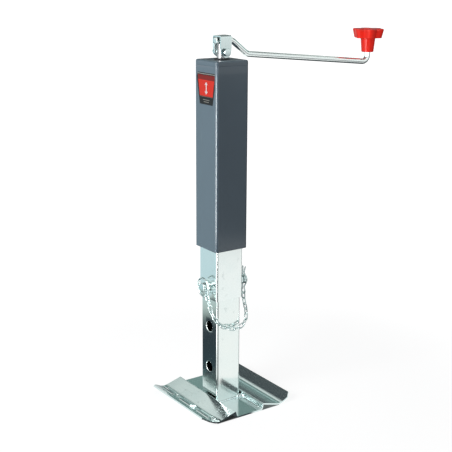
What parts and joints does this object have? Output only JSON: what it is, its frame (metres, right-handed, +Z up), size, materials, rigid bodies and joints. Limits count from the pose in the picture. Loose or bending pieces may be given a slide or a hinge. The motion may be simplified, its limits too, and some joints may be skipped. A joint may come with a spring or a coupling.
{
  "type": "trailer jack",
  "caption": "Square top-wind trailer jack with a cranked lifting screw, a telescoping ram, a pinned drop leg and a pressed foot plate.",
  "frame": {"origin": "centre of the foot plate's flat underside, where the jack stands on the ground", "axes": "+Z up along the tubes and the screw, +X along the crank arm and the lock pin, +Y along the ridges of the foot"},
  "size_m": [0.5231, 0.208, 0.7531],
  "materials": {
    "blue_grey_paint": "satin",
    "zinc_plate": "satin",
    "zinc_foot": "satin",
    "weld_metal": "satin",
    "bare_steel": "satin",
    "bronze": "satin",
    "dark_seal": "matte",
    "plated_hardware": "satin",
    "red_knob": "gloss"
  },
  "bodies": {
    "housing": {"outer_tube": "blue_grey_paint", "top_cap": "blue_grey_paint", "spindle_bushing": "bronze", "spindle_seal": "dark_seal", "upper_race": "bare_steel"},
    "screw": {"lift_screw": "bare_steel", "lower_race": "bare_steel", "thrust_collar": "bare_steel", "collar_pin": "bare_steel", "screw_stop_pin": "bare_steel", "crank_bracket": "plated_hardware", "bracket_bolt": "plated_hardware", "bracket_nut": "plated_hardware", "crank_rod": "plated_hardware", "rod_weld": "weld_metal", "knob_push_nut": "plated_hardware"},
    "bearing": {"bearing_cage": "bare_steel", "bearing_rollers": "bare_steel"},
    "knob": {"crank_knob": "red_knob", "knob_cap": "red_knob"},
    "ram": {"ram_tube": "zinc_plate", "nut_plate": "bare_steel", "lift_nut": "bronze", "drop_leg": "zinc_plate", "foot_plate": "zinc_foot", "foot_weld": "weld_metal", "lock_pin": "plated_hardware", "pin_ring": "plated_hardware", "retaining_clip": "plated_hardware", "tether_chain": "plated_hardware"}
  },
  "joints": [
    {"name": "screw_turn", "type": "hinge", "parent": "housing", "child": "screw", "pos_m": [0, 0, 0.6], "axis": [0, 0, -1], "range_deg": [0, 19800]},
    {"name": "ram_slide", "type": "slide", "parent": "housing", "child": "ram", "axis": [0, 0, -1], "range_m": [0, 0.2794]},
    {"name": "bearing_turn", "type": "hinge", "parent": "housing", "child": "bearing", "pos_m": [0, 0, 0.6], "axis": [0, 0, -1], "range_deg": [0, 9900]},
    {"name": "knob_spin", "type": "hinge", "parent": "screw", "child": "knob", "pos_m": [0.379, 0, 0.728], "axis": [0, 0, 1], "continuous": true}
  ],
  "couplings": [
    {"joint": "ram_slide", "follows": "screw_turn", "m_per_rad": 0.00080851},
    {"joint": "bearing_turn", "follows": "screw_turn", "ratio": 0.5}
  ]
}
